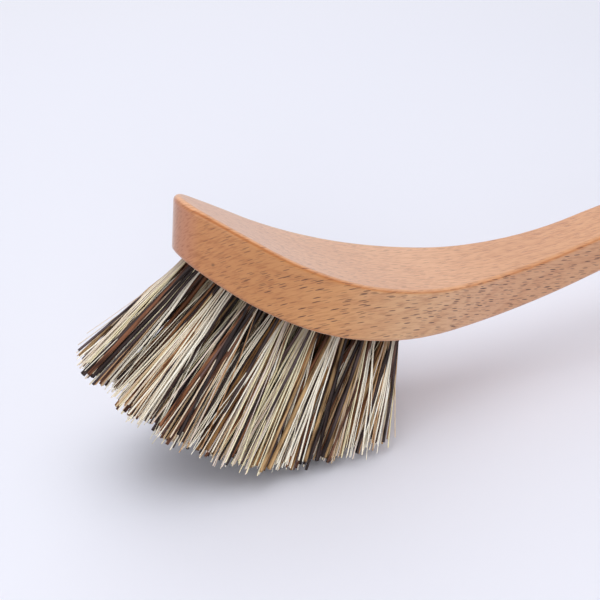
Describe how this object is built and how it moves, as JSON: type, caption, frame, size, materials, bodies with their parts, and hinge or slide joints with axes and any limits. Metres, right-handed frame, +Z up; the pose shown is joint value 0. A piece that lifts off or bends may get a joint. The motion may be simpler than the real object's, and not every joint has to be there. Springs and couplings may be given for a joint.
{
  "type": "dish brush",
  "caption": "Wooden dish brush with a long S-curved handle, an upturned oval head and fanned tufts of mixed stiff plant fibre stapled into its underside.",
  "frame": {"origin": "on the table under the middle of the whole brush, standing on its bristle tips and on the end of its handle", "axes": "+X runs from the nose of the head to the end of the handle, +Y across the brush, +Z up from the table"},
  "size_m": [0.2708, 0.0374, 0.0663],
  "materials": {
    "oiled_beech": "oiled, satin",
    "union_fibre": "dry plant fibre, ivory mixed with tan and dark brown",
    "staple_wire": "bright drawn wire"
  },
  "bodies": {
    "root": {"handle": "oiled_beech", "tuft_1_1": "union_fibre", "tuft_2_1": "union_fibre", "tuft_2_2": "union_fibre", "tuft_3_1": "union_fibre", "tuft_3_2": "union_fibre", "tuft_3_3": "union_fibre", "tuft_4_1": "union_fibre", "tuft_4_2": "union_fibre", "tuft_4_3": "union_fibre", "tuft_5_1": "union_fibre", "tuft_5_2": "union_fibre", "tuft_5_3": "union_fibre", "tuft_5_4": "union_fibre", "tuft_6_1": "union_fibre", "tuft_6_2": "union_fibre", "tuft_6_3": "union_fibre", "tuft_6_4": "union_fibre", "tuft_7_1": "union_fibre", "tuft_7_2": "union_fibre", "tuft_7_3": "union_fibre", "tuft_7_4": "union_fibre", "tuft_8_1": "union_fibre", "tuft_8_2": "union_fibre", "tuft_8_3": "union_fibre", "tuft_8_4": "union_fibre", "tuft_staples": "staple_wire"}
  },
  "joints": []
}
